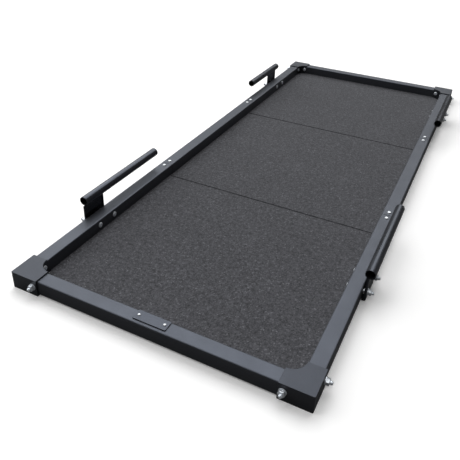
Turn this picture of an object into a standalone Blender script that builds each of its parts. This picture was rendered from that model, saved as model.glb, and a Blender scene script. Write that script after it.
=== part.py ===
"""Deadlift platform: a bolted frame of square tube round three rubber tiles, with four band pegs.

Metres, +Z up. The origin is on the floor under the middle of the frame. +X points to the right
side and +Y to the rear end; the name plate is on the front beam.
"""
import math

import bmesh
import bpy
from mathutils import Matrix, Vector

# Overall frame, measured over the corner sleeves
FRAME_WIDTH = 1.000
FRAME_LENGTH = 2.500

# Gap kept between pieces that touch, and gap round the rubber
SEAT_GAP = 0.0003
TILE_GAP = 0.0006

# Square tube of the beams
TUBE_SIZE = 0.050
TUBE_WALL = 0.003
TUBE_EDGE_RADIUS = 0.004
BUTT_GAP = 0.0020

# Corner sleeves: folded plate over the top, the bottom and the two outer sides
CORNER_PLATE = 0.0047
CORNER_ARM = 0.100
CORNER_FILLET = 0.054
CORNER_EDGE_RADIUS = 0.004
CORNER_EDGE_SOFTENING = 0.0010
CORNER_BOLT_FROM_ARM_END = 0.015

# Places where the side beams are butted, from the middle of the frame along Y
SEAMS_Y = {"left": (-0.388, 0.452), "right": (-0.326, 0.452)}
SPLICE_LENGTH = 0.160
SPLICE_WALL = 0.003
SPLICE_SCREW_FROM_SEAM = 0.022

# Rubber tiles
TILE_THICKNESS = 0.012
TILE_SEAMS_Y = (-0.408, 0.395)
TILE_SEAM_GAP = 0.0025
TILE_CORNER_RADIUS = 0.066
TILE_EDGE_SOFTENING = 0.0025

# Band pegs: a channel bracket bolted to the beam's outer wall, with a pipe on top. The bracket's
# flanges reach the wall at its foot and are narrow above. The pipe's axis lies a little outside
# the bracket's outer face.
# For each peg: the middle of its bracket along Y, and the two ends of its pipe
PEGS_Y = {
    "left_front": (-0.838, -0.881, -0.423),
    "left_rear": (0.840, 0.562, 0.924),
    "right_front": (-0.7265, -0.787, -0.355),
    "right_rear": (0.848, 0.528, 0.926),
}
PIPE_DIAMETER = 0.0337
PIPE_WALL = 0.0026
PIPE_HEIGHT = 0.115
PIPE_PAST_BRACKET = 0.0015
BRACKET_WIDTH = 0.108
BRACKET_REACH = 0.0135
BRACKET_PLATE = 0.0045
BRACKET_BEND_RADIUS = 0.0055
BRACKET_BOTTOM = 0.004
BRACKET_NECK = 0.008
BRACKET_NECK_FOOT = 0.028
BRACKET_NECK_RADIUS = 0.0025
PEG_BOLT_SPACING = 0.083

# Name plate, bare, with its distance from the beam's rear edge
NAME_PLATE = (0.110, 0.037, 0.003)
NAME_PLATE_FROM_EDGE = 0.0015
NAME_PLATE_CORNER = 0.003
NAME_PLATE_SCREW_SPACING = 0.086

# Through bolts: domed head inside, washer, hexagon nut and stud end outside. They sit a little
# above the middle of the tube
BOLT_DIAMETER = 0.012
BOLT_HEAD = (0.022, 0.0066)
BOLT_WASHER = (0.024, 0.0025)
BOLT_NUT = (0.019, 0.010)
BOLT_STUD_END = 0.0085
BOLT_RISE = 0.004

# Domed screws: diameter, length, head diameter and head height
SPLICE_SCREW = (0.008, 0.014, 0.0145, 0.0044)
PLATE_SCREW = (0.005, 0.012, 0.0090, 0.0028)
HOLE_CLEARANCE = 0.0004

# Facets of round shapes
BOLT_STEPS = 14
HOLE_STEPS = 12
DOME_STEPS = 3
PIPE_STEPS = 28
ARC_STEPS = 10
EDGE_STEPS = 3

# Distances that follow from the sizes above
BEAM_OUTER_X = FRAME_WIDTH / 2 - CORNER_PLATE - SEAT_GAP
BEAM_OUTER_Y = FRAME_LENGTH / 2 - CORNER_PLATE - SEAT_GAP
BEAM_INNER_X = BEAM_OUTER_X - TUBE_SIZE
BEAM_INNER_Y = BEAM_OUTER_Y - TUBE_SIZE
BEAM_MID_X = BEAM_OUTER_X - TUBE_SIZE / 2
BEAM_MID_Y = BEAM_OUTER_Y - TUBE_SIZE / 2
BEAM_BOTTOM = CORNER_PLATE + SEAT_GAP
BEAM_TOP = BEAM_BOTTOM + TUBE_SIZE
BEAM_MID_Z = BEAM_BOTTOM + TUBE_SIZE / 2
BOLT_Z = BEAM_MID_Z + BOLT_RISE
CORNER_HEIGHT = BEAM_TOP + SEAT_GAP + CORNER_PLATE
WEB_OUTER_X = BEAM_OUTER_X + BRACKET_REACH
PIPE_X = WEB_OUTER_X + PIPE_PAST_BRACKET

SIDES = {"left": -1, "right": 1}
ENDS = {"front": -1, "rear": 1}


def clear_scene():
    """Empty the file's scene."""
    for item in list(bpy.data.objects):
        bpy.data.objects.remove(item, do_unlink=True)


def new_collection(name):
    """A collection in the scene."""
    group = bpy.data.collections.new(name)
    bpy.context.scene.collection.children.link(group)
    return group


def new_material(name, colour, roughness, metallic):
    """A Principled material."""
    material = bpy.data.materials.new(name)
    material.use_nodes = True
    shader = material.node_tree.nodes["Principled BSDF"]
    shader.inputs["Base Color"].default_value = (*colour, 1.0)
    shader.inputs["Roughness"].default_value = roughness
    shader.inputs["Metallic"].default_value = metallic
    return material


def evaluated_mesh(item):
    """The mesh of an object with its modifiers applied."""
    bpy.context.view_layer.update()
    graph = bpy.context.evaluated_depsgraph_get()
    return bpy.data.meshes.new_from_object(item.evaluated_get(graph))


def weld(mesh, distance=0.00001):
    """Join the points that lie on each other."""
    work = bmesh.new()
    work.from_mesh(mesh)
    bmesh.ops.remove_doubles(work, verts=work.verts, dist=distance)
    work.to_mesh(mesh)
    work.free()


def arc_points(centre, radius, start, end, steps):
    """Points on an arc, both ends included; the angles are in degrees."""
    points = []
    for index in range(steps + 1):
        angle = math.radians(start + (end - start) * index / steps)
        points.append((centre[0] + radius * math.cos(angle), centre[1] + radius * math.sin(angle)))
    return points


def rounded_outline(corners):
    """An outline with its corners rounded. Each corner is (x, y, radius, steps)."""
    outline = []
    count = len(corners)
    for index, (x, y, radius, steps) in enumerate(corners):
        here = Vector((x, y))
        if radius <= 0.0:
            outline.append((x, y))
            continue
        back = (Vector(corners[index - 1][:2]) - here).normalized()
        ahead = (Vector(corners[(index + 1) % count][:2]) - here).normalized()
        half = back.angle(ahead) / 2
        centre = here + (back + ahead).normalized() * radius / math.sin(half)
        start = here + back * radius / math.tan(half) - centre
        sweep = math.pi - 2 * half
        if back.x * ahead.y - back.y * ahead.x > 0:
            sweep = -sweep
        for step in range(steps + 1):
            turn = sweep * step / steps
            outline.append((
                centre.x + start.x * math.cos(turn) - start.y * math.sin(turn),
                centre.y + start.x * math.sin(turn) + start.y * math.cos(turn),
            ))
    return outline


def rectangle(width, depth, radius=0.0, steps=EDGE_STEPS):
    """A rectangle about the origin, its corners rounded."""
    w, d = width / 2, depth / 2
    return rounded_outline([
        (-w, -d, radius, steps), (w, -d, radius, steps), (w, d, radius, steps), (-w, d, radius, steps)])


def circle(diameter, steps):
    """A circle about the origin."""
    return arc_points((0.0, 0.0), diameter / 2, 0.0, 360.0, steps)[:-1]


def extruded_mesh(name, loops, thickness):
    """A flat outline, with holes if it has more than one loop, extruded about z = 0."""
    curve = bpy.data.curves.new(name, "CURVE")
    curve.dimensions = "2D"
    curve.fill_mode = "BOTH"
    curve.extrude = thickness / 2
    for loop in loops:
        spline = curve.splines.new("POLY")
        spline.points.add(len(loop) - 1)
        for point, (x, y) in zip(spline.points, loop):
            point.co = (x, y, 0.0, 1.0)
        spline.use_cyclic_u = True
    holder = bpy.data.objects.new(name, curve)
    bpy.context.scene.collection.objects.link(holder)
    mesh = evaluated_mesh(holder)
    bpy.data.objects.remove(holder, do_unlink=True)
    bpy.data.curves.remove(curve)
    weld(mesh)
    mesh.name = name
    return mesh


def turned_object(name, profile, steps):
    """A solid turned about Z from a profile that runs down its outer side, top to bottom."""
    mesh = bpy.data.meshes.new(name)
    work = bmesh.new()
    verts = [work.verts.new((radius, 0.0, height)) for radius, height in profile]
    for first, second in zip(verts, verts[1:]):
        work.edges.new((first, second))
    work.to_mesh(mesh)
    work.free()
    item = bpy.data.objects.new(name, mesh)
    screw = item.modifiers.new("turn", "SCREW")
    screw.axis = "Z"
    screw.steps = steps
    screw.render_steps = steps
    screw.use_merge_vertices = True
    screw.merge_threshold = 0.00001
    screw.use_smooth_shade = True
    return item


def domed_head(diameter, height):
    """The profile of a domed head, from its top on the axis to its rim on z = 0."""
    rim = height * 0.22
    rise = height - rim
    radius = ((diameter / 2) ** 2 + rise ** 2) / (2 * rise)
    half = math.degrees(math.asin(min(1.0, diameter / 2 / radius)))
    dome = arc_points((0.0, height - radius), radius, 90.0, 90.0 - half, DOME_STEPS)
    return [(0.0, height)] + dome[1:] + [(diameter / 2, 0.0)]


def shade(mesh):
    """Smooth round faces and sharp corners."""
    mesh.shade_smooth()
    mesh.set_sharp_from_angle(angle=math.radians(32.0))


def bolt_mesh(name, grip):
    """A through bolt as assembled: head on +Z, washer and nut below the grip, stud end past the nut."""
    shank = BOLT_DIAMETER / 2
    washer_top = -grip
    washer_foot = washer_top - BOLT_WASHER[1]
    nut_foot = washer_foot - BOLT_NUT[1]
    tip = nut_foot - BOLT_STUD_END
    chamfer = BOLT_DIAMETER * 0.1
    profile = domed_head(*BOLT_HEAD) + [
        (shank, 0.0), (shank, washer_top), (BOLT_WASHER[0] / 2, washer_top),
        (BOLT_WASHER[0] / 2, washer_foot), (shank, washer_foot), (shank, tip + chamfer),
        (shank - chamfer, tip), (0.0, tip)]
    bolt = turned_object(name, profile, BOLT_STEPS)
    bpy.context.scene.collection.objects.link(bolt)
    nut_head = washer_foot + BOLT_WASHER[1] / 2
    nut = bpy.data.meshes.new(name + "_nut")
    work = bmesh.new()
    across_corners = BOLT_NUT[0] / math.cos(math.pi / 6)
    bmesh.ops.create_cone(
        work, cap_ends=True, segments=6, radius1=across_corners / 2, radius2=across_corners / 2,
        depth=nut_head - nut_foot, matrix=Matrix.Translation((0.0, 0.0, (nut_head + nut_foot) / 2)))
    work.to_mesh(nut)
    work.free()
    nut_item = bpy.data.objects.new(name + "_nut", nut)
    bpy.context.scene.collection.objects.link(nut_item)
    union = bolt.modifiers.new("nut", "BOOLEAN")
    union.operation = "UNION"
    union.solver = "EXACT"
    union.object = nut_item
    mesh = evaluated_mesh(bolt)
    bpy.data.objects.remove(bolt, do_unlink=True)
    bpy.data.objects.remove(nut_item, do_unlink=True)
    mesh.name = name
    shade(mesh)
    return mesh


def screw_mesh(name, size):
    """A domed screw: head on +Z above z = 0, shank below."""
    diameter, length, head_diameter, head_height = size
    shank = diameter / 2
    chamfer = diameter * 0.12
    profile = domed_head(head_diameter, head_height) + [
        (shank, 0.0), (shank, -length + chamfer), (shank - chamfer, -length), (0.0, -length)]
    item = turned_object(name, profile, BOLT_STEPS)
    bpy.context.scene.collection.objects.link(item)
    mesh = evaluated_mesh(item)
    bpy.data.objects.remove(item, do_unlink=True)
    mesh.name = name
    shade(mesh)
    return mesh


def place(name, mesh, group, material, location, rotation=(0.0, 0.0, 0.0)):
    """A named object of the model."""
    item = bpy.data.objects.new(name, mesh)
    item.location = location
    item.rotation_euler = rotation
    if not mesh.materials:
        mesh.materials.append(material)
    group.objects.link(item)
    return item


def cutter(name, mesh, group, location=(0.0, 0.0, 0.0), rotation=(0.0, 0.0, 0.0)):
    """An object that only cuts others."""
    item = bpy.data.objects.new(name, mesh)
    item.location = location
    item.rotation_euler = rotation
    item.hide_render = True
    item.display_type = "WIRE"
    group.objects.link(item)
    return item


def cut(item, tool):
    """Take a cutter out of an object."""
    difference = item.modifiers.new(tool.name, "BOOLEAN")
    difference.operation = "DIFFERENCE"
    difference.solver = "EXACT"
    difference.object = tool


def soften(item, width, segments=1):
    """Round the sharp edges of an object."""
    bevel = item.modifiers.new("edges", "BEVEL")
    bevel.width = width
    bevel.segments = segments
    bevel.limit_method = "ANGLE"
    bevel.angle_limit = math.radians(50.0)


def add_hole(work, diameter, start, end):
    """A round cutter from one point to another, added to a cutter mesh."""
    start, end = Vector(start), Vector(end)
    axis = end - start
    turn = axis.to_track_quat("Z", "Y").to_matrix().to_4x4()
    radius = diameter / 2 + HOLE_CLEARANCE
    bmesh.ops.create_cone(
        work, cap_ends=True, segments=HOLE_STEPS, radius1=radius, radius2=radius, depth=axis.length,
        matrix=Matrix.Translation((start + end) / 2) @ turn)


def corner_bolt_places():
    """Name, place of the head's seat and inward direction of each corner bolt."""
    along_x = FRAME_WIDTH / 2 - CORNER_ARM + CORNER_BOLT_FROM_ARM_END
    along_y = FRAME_LENGTH / 2 - CORNER_ARM + CORNER_BOLT_FROM_ARM_END
    places = []
    for end, sy in ENDS.items():
        for side, sx in SIDES.items():
            seat_x = sx * (BEAM_INNER_X - SEAT_GAP)
            seat_y = sy * (BEAM_INNER_Y - SEAT_GAP)
            places.append((
                f"corner_bolt_{end}_{side}_side", Vector((seat_x, sy * along_y, BOLT_Z)), Vector((-sx, 0, 0))))
            places.append((
                f"corner_bolt_{end}_{side}_end", Vector((sx * along_x, seat_y, BOLT_Z)), Vector((0, -sy, 0))))
    return places


def peg_bolt_places():
    """Name, place of the head's seat and inward direction of each peg bolt."""
    places = []
    for peg, (middle, _, _) in PEGS_Y.items():
        sx = SIDES[peg.split("_")[0]]
        for letter, shift in (("a", -PEG_BOLT_SPACING / 2), ("b", PEG_BOLT_SPACING / 2)):
            seat = Vector((sx * (BEAM_INNER_X - SEAT_GAP), middle + shift, BOLT_Z))
            places.append((f"peg_bolt_{peg}_{letter}", seat, Vector((-sx, 0, 0))))
    return places


def splice_screw_places():
    """Name and place of each splice screw's seat."""
    places = []
    for side, sx in SIDES.items():
        for end, seam in zip(ENDS, SEAMS_Y[side]):
            for letter, shift in (("a", -SPLICE_SCREW_FROM_SEAM), ("b", SPLICE_SCREW_FROM_SEAM)):
                place_at = Vector((sx * BEAM_MID_X, seam + shift, BEAM_TOP + SEAT_GAP))
                places.append((f"splice_screw_{side}_{end}_{letter}", place_at))
    return places


def name_plate_middle():
    """Middle of the name plate's foot."""
    return Vector((0.0, -(BEAM_INNER_Y + NAME_PLATE_FROM_EDGE + NAME_PLATE[1] / 2), BEAM_TOP + SEAT_GAP))


def plate_screw_places():
    """Name and place of each plate screw's seat."""
    top = name_plate_middle() + Vector((0.0, 0.0, NAME_PLATE[2] + SEAT_GAP))
    half = NAME_PLATE_SCREW_SPACING / 2
    return [
        ("name_plate_screw_left", top + Vector((-half, 0.0, 0.0))),
        ("name_plate_screw_right", top + Vector((half, 0.0, 0.0)))]


def hole_cutter(group):
    """One cutter with every bolt and screw hole of the frame, the brackets and the plate."""
    mesh = bpy.data.meshes.new("hole_cutter")
    work = bmesh.new()
    inside = TUBE_WALL
    for _, seat, inward in corner_bolt_places():
        outward = -inward
        reach = TUBE_SIZE + CORNER_PLATE + 2 * SEAT_GAP
        add_hole(work, BOLT_DIAMETER, seat - outward * inside, seat + outward * (reach + inside))
    for _, seat, inward in peg_bolt_places():
        outward = -inward
        reach = TUBE_SIZE + BRACKET_REACH + SEAT_GAP
        add_hole(work, BOLT_DIAMETER, seat - outward * inside, seat + outward * (reach + inside))
    down = Vector((0.0, 0.0, -1.0))
    depth = TUBE_WALL + SPLICE_WALL + 3 * SEAT_GAP
    for _, seat in splice_screw_places():
        add_hole(work, SPLICE_SCREW[0], seat - down * TUBE_WALL, seat + down * (depth + TUBE_WALL))
    for _, seat in plate_screw_places():
        reach = NAME_PLATE[2] + 2 * SEAT_GAP + TUBE_WALL
        add_hole(work, PLATE_SCREW[0], seat - down * TUBE_WALL, seat + down * (reach + TUBE_WALL))
    work.to_mesh(mesh)
    work.free()
    return cutter("hole_cutter", mesh, group)


def build_beams(group, material, holes):
    """Two end beams and six side beams of square tube, with splice sleeves inside the butts."""
    inner_size = TUBE_SIZE - 2 * TUBE_WALL
    inner_radius = max(TUBE_EDGE_RADIUS - TUBE_WALL, 0.0005)
    loops = [rectangle(TUBE_SIZE, TUBE_SIZE, TUBE_EDGE_RADIUS), rectangle(inner_size, inner_size, inner_radius, 1)]
    end_length = 2 * (BEAM_INNER_X - SEAT_GAP)
    for end, sy in ENDS.items():
        name = f"end_beam_{end}"
        mesh = extruded_mesh(name, loops, end_length)
        shade(mesh)
        beam = place(name, mesh, group, material, (0.0, sy * BEAM_MID_Y, BEAM_MID_Z), (0.0, math.pi / 2, 0.0))
        cut(beam, holes)
    for side, sx in SIDES.items():
        stops = (-BEAM_OUTER_Y, *SEAMS_Y[side], BEAM_OUTER_Y)
        for index, part in enumerate(("front", "middle", "rear")):
            start = stops[index] + (BUTT_GAP / 2 if index > 0 else 0.0)
            stop = stops[index + 1] - (BUTT_GAP / 2 if index < 2 else 0.0)
            name = f"side_beam_{side}_{part}"
            mesh = extruded_mesh(name, loops, stop - start)
            shade(mesh)
            middle = (sx * BEAM_MID_X, (start + stop) / 2, BEAM_MID_Z)
            beam = place(name, mesh, group, material, middle, (math.pi / 2, 0.0, 0.0))
            cut(beam, holes)


def build_splices(group, material, holes):
    """Sleeves that slide into two butted side beams and take the splice screws."""
    outer = TUBE_SIZE - 2 * TUBE_WALL - 2 * SEAT_GAP
    inner = outer - 2 * SPLICE_WALL
    loops = [rectangle(outer, outer, TUBE_EDGE_RADIUS * 0.6), rectangle(inner, inner)]
    for side, sx in SIDES.items():
        for end, seam in zip(ENDS, SEAMS_Y[side]):
            name = f"splice_sleeve_{side}_{end}"
            mesh = extruded_mesh(name, loops, SPLICE_LENGTH)
            shade(mesh)
            sleeve = place(
                name, mesh, group, material, (sx * BEAM_MID_X, seam, BEAM_MID_Z), (math.pi / 2, 0.0, 0.0))
            cut(sleeve, holes)


def build_corners(group, cutters, material, holes):
    """Four corner sleeves, open towards the middle. The top plate has a rounded inner edge, and
    the bottom plate stops at the beams."""
    half_x, half_y = FRAME_WIDTH / 2, FRAME_LENGTH / 2
    pocket_size = 2 * CORNER_ARM
    pocket_height = TUBE_SIZE + 2 * SEAT_GAP
    for end, sy in ENDS.items():
        for side, sx in SIDES.items():
            corners = [
                (half_x, half_y, CORNER_EDGE_RADIUS, EDGE_STEPS),
                (half_x - CORNER_ARM, half_y, 0.0, 0),
                (half_x - CORNER_ARM, BEAM_INNER_Y, 0.0, 0),
                (BEAM_INNER_X, BEAM_INNER_Y, min(CORNER_FILLET, CORNER_ARM - half_x + BEAM_INNER_X), ARC_STEPS),
                (BEAM_INNER_X, half_y - CORNER_ARM, 0.0, 0),
                (half_x, half_y - CORNER_ARM, 0.0, 0)]
            outline = rounded_outline(corners)
            outline = [((x - half_x) * sx, (y - half_y) * sy) for x, y in outline]
            name = f"corner_{end}_{side}"
            mesh = extruded_mesh(name, [outline], CORNER_HEIGHT)
            shade(mesh)
            corner = place(
                name, mesh, group, material, (sx * half_x, sy * half_y, CORNER_HEIGHT / 2))
            soften(corner, CORNER_EDGE_SOFTENING)
            pocket = bpy.data.meshes.new(name + "_pocket")
            work = bmesh.new()
            bmesh.ops.create_cube(
                work, size=1.0, matrix=Matrix.Diagonal((pocket_size, pocket_size, pocket_height, 1.0)))
            work.to_mesh(pocket)
            work.free()
            reach = CORNER_PLATE + pocket_size / 2
            tool = cutter(
                name + "_pocket", pocket, cutters,
                (sx * (half_x - reach), sy * (half_y - reach), CORNER_HEIGHT / 2))
            cut(corner, tool)
            foot_height = 2 * CORNER_PLATE
            foot_reach = CORNER_ARM
            foot = bpy.data.meshes.new(name + "_foot")
            work = bmesh.new()
            bmesh.ops.create_cube(
                work, size=1.0, matrix=Matrix.Diagonal((foot_reach, foot_reach, foot_height, 1.0)))
            work.to_mesh(foot)
            work.free()
            foot_tool = cutter(
                name + "_foot", foot, cutters,
                (sx * (BEAM_INNER_X - foot_reach / 2), sy * (BEAM_INNER_Y - foot_reach / 2), 0.0))
            cut(corner, foot_tool)
            cut(corner, holes)


def build_tiles(group, material):
    """Three rubber tiles side by side on the floor inside the frame."""
    stops = (-BEAM_INNER_Y, *TILE_SEAMS_Y, BEAM_INNER_Y)
    half = BEAM_INNER_X - TILE_GAP
    for index, part in enumerate(("front", "middle", "rear")):
        start = stops[index] + (TILE_GAP if index == 0 else TILE_SEAM_GAP / 2)
        stop = stops[index + 1] - (TILE_GAP if index == 2 else TILE_SEAM_GAP / 2)
        front_radius = TILE_CORNER_RADIUS if index == 0 else 0.0
        rear_radius = TILE_CORNER_RADIUS if index == 2 else 0.0
        middle = (start + stop) / 2
        outline = rounded_outline([
            (-half, start - middle, front_radius, ARC_STEPS), (half, start - middle, front_radius, ARC_STEPS),
            (half, stop - middle, rear_radius, ARC_STEPS), (-half, stop - middle, rear_radius, ARC_STEPS)])
        name = f"rubber_tile_{part}"
        mesh = extruded_mesh(name, [outline], TILE_THICKNESS)
        shade(mesh)
        tile = place(name, mesh, group, material, (0.0, middle, TILE_THICKNESS / 2))
        soften(tile, TILE_EDGE_SOFTENING)


def bracket_outline():
    """Plan of a bracket for the right side: a channel with its web outside, x from the beam's wall."""
    depth = BRACKET_REACH - SEAT_GAP
    half = BRACKET_WIDTH / 2
    plate = BRACKET_PLATE
    outer = BRACKET_BEND_RADIUS
    inner = max(BRACKET_BEND_RADIUS - BRACKET_PLATE, 0.0005)
    return rounded_outline([
        (0.0, -half, 0.0, 0), (depth, -half, outer, 4), (depth, half, outer, 4), (0.0, half, 0.0, 0),
        (0.0, half - plate, 0.0, 0), (depth - plate, half - plate, inner, 4),
        (depth - plate, -half + plate, inner, 4), (0.0, -half + plate, 0.0, 0)])


def build_pegs(group, cutters, material, holes):
    """Four band pegs: channel brackets against the side beams, each with a pipe seated on top."""
    pipe_loops = [circle(PIPE_DIAMETER, PIPE_STEPS), circle(PIPE_DIAMETER - 2 * PIPE_WALL, PIPE_STEPS)]
    saddle_loop = [circle(PIPE_DIAMETER + 2 * SEAT_GAP, PIPE_STEPS)]
    top = PIPE_HEIGHT - PIPE_DIAMETER * 0.3
    height = top - BRACKET_BOTTOM
    for peg, (middle, pipe_start, pipe_end) in PEGS_Y.items():
        sx = SIDES[peg.split("_")[0]]
        pipe_name = f"peg_pipe_{peg}"
        pipe_mesh = extruded_mesh(pipe_name, pipe_loops, pipe_end - pipe_start)
        shade(pipe_mesh)
        place(
            pipe_name, pipe_mesh, group, material,
            (sx * PIPE_X, (pipe_start + pipe_end) / 2, PIPE_HEIGHT), (math.pi / 2, 0.0, 0.0))
        name = f"peg_bracket_{peg}"
        outline = [(x * sx, y) for x, y in bracket_outline()]
        mesh = extruded_mesh(name, [outline], height)
        shade(mesh)
        bracket = place(
            name, mesh, group, material,
            (sx * (BEAM_OUTER_X + SEAT_GAP), middle, BRACKET_BOTTOM + height / 2))
        notch_depth = BRACKET_REACH - BRACKET_NECK
        notch_height = 2 * (top - BRACKET_NECK_FOOT)
        notch_radius = min(BRACKET_NECK_RADIUS, notch_depth * 0.9)
        notch_mesh = extruded_mesh(
            name + "_notch", [rectangle(2 * notch_depth, notch_height, notch_radius, 4)], 2 * BRACKET_WIDTH)
        notch = cutter(
            name + "_notch", notch_mesh, cutters,
            (sx * BEAM_OUTER_X, middle, BRACKET_NECK_FOOT + notch_height / 2), (math.pi / 2, 0.0, 0.0))
        saddle_mesh = extruded_mesh(name + "_saddle", saddle_loop, 2 * BRACKET_WIDTH)
        saddle = cutter(
            name + "_saddle", saddle_mesh, cutters, (sx * PIPE_X, middle, PIPE_HEIGHT),
            (math.pi / 2, 0.0, 0.0))
        cut(bracket, notch)
        cut(bracket, saddle)
        cut(bracket, holes)


def build_name_plate(group, material, holes):
    """The bare plate on the front beam."""
    width, depth, thickness = NAME_PLATE
    mesh = extruded_mesh("name_plate", [rectangle(width, depth, NAME_PLATE_CORNER)], thickness)
    shade(mesh)
    middle = name_plate_middle() + Vector((0.0, 0.0, thickness / 2))
    plate = place("name_plate", mesh, group, material, middle)
    soften(plate, thickness * 0.2)
    cut(plate, holes)


def build_fasteners(group, material):
    """Corner bolts, peg bolts, splice screws and plate screws."""
    corner_mesh = bolt_mesh("corner_bolt", TUBE_SIZE + CORNER_PLATE + 3 * SEAT_GAP)
    peg_mesh = bolt_mesh("peg_bolt", TUBE_SIZE + BRACKET_REACH + 2 * SEAT_GAP)
    for mesh, places in ((corner_mesh, corner_bolt_places()), (peg_mesh, peg_bolt_places())):
        for name, seat, inward in places:
            turn = inward.to_track_quat("Z", "Y").to_euler()
            place(name, mesh, group, material, seat, turn)
    splice_mesh = screw_mesh("splice_screw", SPLICE_SCREW)
    plate_mesh = screw_mesh("name_plate_screw", PLATE_SCREW)
    for mesh, places in ((splice_mesh, splice_screw_places()), (plate_mesh, plate_screw_places())):
        for name, seat in places:
            place(name, mesh, group, material, seat)


def main():
    clear_scene()
    group = new_collection("deadlift_platform")
    cutters = new_collection("cutters")
    frame_paint = new_material("frame_paint", (0.045, 0.050, 0.056), 0.42, 0.0)
    peg_paint = new_material("peg_paint", (0.030, 0.032, 0.036), 0.40, 0.0)
    rubber = new_material("rubber_granulate", (0.028, 0.028, 0.029), 0.92, 0.0)
    zinc = new_material("zinc_plated_steel", (0.62, 0.62, 0.60), 0.30, 1.0)
    plate_paint = new_material("name_plate_paint", (0.040, 0.042, 0.046), 0.45, 0.0)
    holes = hole_cutter(cutters)
    build_beams(group, frame_paint, holes)
    build_splices(group, frame_paint, holes)
    build_corners(group, cutters, frame_paint, holes)
    build_tiles(group, rubber)
    build_pegs(group, cutters, peg_paint, holes)
    build_name_plate(group, plate_paint, holes)
    build_fasteners(group, zinc)


main()
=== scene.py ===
"""Deadlift platform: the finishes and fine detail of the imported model, with its stage.

Laid out as an add-on and run as a script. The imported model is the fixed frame: metres, +Z up, the
name plate on the front beam at -Y. Each operator makes one kind of piece, and main calls them in order.
"""
import math

import bmesh
import bpy
from bpy.props import FloatProperty, FloatVectorProperty, IntProperty, PointerProperty
from bpy.types import NodeSocket, Operator, Panel, PropertyGroup
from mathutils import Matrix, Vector


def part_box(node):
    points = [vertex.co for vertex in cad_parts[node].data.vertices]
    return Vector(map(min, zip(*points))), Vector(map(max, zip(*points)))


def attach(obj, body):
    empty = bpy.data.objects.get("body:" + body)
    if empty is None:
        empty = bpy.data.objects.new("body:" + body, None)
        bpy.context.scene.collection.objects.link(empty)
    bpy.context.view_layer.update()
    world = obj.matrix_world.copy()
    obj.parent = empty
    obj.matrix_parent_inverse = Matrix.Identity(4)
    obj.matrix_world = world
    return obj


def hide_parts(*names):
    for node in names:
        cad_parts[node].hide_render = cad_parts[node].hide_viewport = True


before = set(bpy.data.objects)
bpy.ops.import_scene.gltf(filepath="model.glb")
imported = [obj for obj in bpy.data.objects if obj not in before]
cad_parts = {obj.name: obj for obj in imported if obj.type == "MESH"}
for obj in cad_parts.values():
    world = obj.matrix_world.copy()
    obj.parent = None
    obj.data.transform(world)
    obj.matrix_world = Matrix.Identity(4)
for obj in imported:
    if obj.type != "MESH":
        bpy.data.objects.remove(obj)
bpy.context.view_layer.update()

bl_info = {
    "name": "Deadlift Platform",
    "version": (1, 0, 0),
    "blender": (4, 5, 0),
    "location": "3D View > Sidebar > Platform",
    "description": "Finishes and fine detail of a deadlift platform with rubber tiles and band pegs",
    "category": "Object",
}

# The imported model's body and nodes
BODY = "root"
CORNERS = ("front_left", "front_right", "rear_left", "rear_right")
PEGS = ("left_front", "left_rear", "right_front", "right_rear")
BEAMS = (
    "end_beam_front", "end_beam_rear",
    *(f"side_beam_{side}_{part}" for side in ("left", "right") for part in ("front", "middle", "rear")))
SLEEVES = tuple(f"splice_sleeve_{peg}" for peg in PEGS)
TILES = ("rubber_tile_front", "rubber_tile_middle", "rubber_tile_rear")
CORNER_BOLTS = tuple(f"corner_bolt_{corner}_{way}" for corner in CORNERS for way in ("side", "end"))
PEG_BOLTS = tuple(f"peg_bolt_{peg}_{letter}" for peg in PEGS for letter in "ab")
SPLICE_SCREWS = tuple(f"splice_screw_{peg}_{letter}" for peg in PEGS for letter in "ab")
PLATE_SCREWS = ("name_plate_screw_left", "name_plate_screw_right")

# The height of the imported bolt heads, whose seats the finer heads keep, and the brackets' plate
PACKED_HEAD_HEIGHT = 0.0066
BRACKET_PLATE = 0.0045

# How the nodes are laid out, and where most of a noise texture's values lie
NODES_A_ROW = 10
NODE_ROOM = (190, 330)
NOISE_RANGE = (0.3, 0.7)

# Each powder coat: whose colour it has, whose roughness and shine, and how rubbed it is
PAINTS = {
    "frame_paint_finish": ("frame", "frame", 0.30),
    "corner_paint_finish": ("corner", "corner", 0.20),
    "peg_paint_finish": ("peg", "peg", 0.35),
    "name_plate_finish": ("plate", "frame", 0.15),
}

# How much paler a rubbed spot is than its coat
RUBBED_GAIN = 1.9
RUBBED_LIFT = 0.01

# Each finish's relief: the strength of its bumps and their height
PAINT_RELIEF = (0.25, 0.0002)
RUBBER_RELIEF = (0.6, 0.0008)
ZINC_RELIEF = (0.15, 0.00005)

# The tiles: how far their crumbs' edges wander, and where the painted shade beside a seam begins and ends to
# fade
CRUMB_BEND = 0.0016
SEAM_SHADE_FADE = (0.0015, 0.0060)
RUBBER_SHINE = 0.3

# Facets of a turned shape, the small ring that it closes on, and how near points become one
ROUND_STEPS = 32
AXIS_RADIUS = 0.00001
MERGE_DISTANCE = 0.00006

# From a hexagon's corner radius to its width across flats
HEX_FLATS = 2 * math.cos(math.pi / 6)

# A domed head's outline from its middle to its rim, as shares of its radius and of its height
DOME = (
    (0.0, 1.0), (0.22, 0.99), (0.43, 0.95), (0.62, 0.87), (0.79, 0.74), (0.92, 0.55), (0.99, 0.33),
    (1.0, 0.16), (1.0, 0.0))

# The thread, as shares of its pitch, how much of the stud end has it, and its steps a turn
THREAD_DEPTH = 0.55
TIP_TAPER = 0.35
RIDGE_DEPTH = 0.36
RIDGE_RADIUS = 0.40
THREADED_SHARE = 0.86
THREAD_STEPS = 20

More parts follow.
